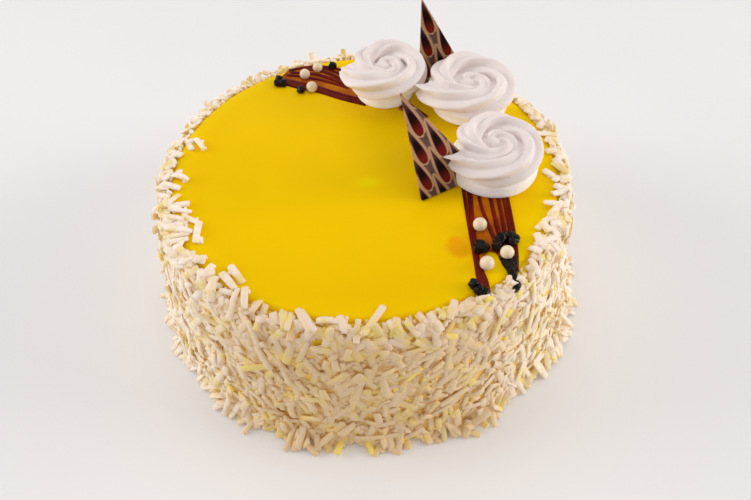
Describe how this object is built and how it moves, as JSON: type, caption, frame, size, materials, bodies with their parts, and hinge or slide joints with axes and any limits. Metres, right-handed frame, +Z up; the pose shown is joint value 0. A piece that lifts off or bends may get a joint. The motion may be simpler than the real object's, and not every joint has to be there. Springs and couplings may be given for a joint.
{
  "type": "pineapple cake",
  "caption": "Round glazed cake with a side coated in white shavings, topped with piped rosettes, chocolate triangles, syrup lines and sugar pearls.",
  "frame": {"origin": "middle of the flat underside of the cake", "axes": "+Z up, +X to the viewer's right, the front of the cake towards -Y"},
  "size_m": [0.2284, 0.2266, 0.1226],
  "materials": {
    "shavings": "waxy white chocolate shavings, satin",
    "glaze": "glossy translucent fruit glaze",
    "meringue": "smooth satin piped cream",
    "chocolate": "smooth printed chocolate, semi-gloss"
  },
  "bodies": {
    "root": {"cake": "shavings", "glaze": "glaze", "rosette_front": "meringue", "rosette_middle": "meringue", "rosette_back": "meringue", "triangle_front": "chocolate", "triangle_back": "chocolate"}
  },
  "joints": []
}
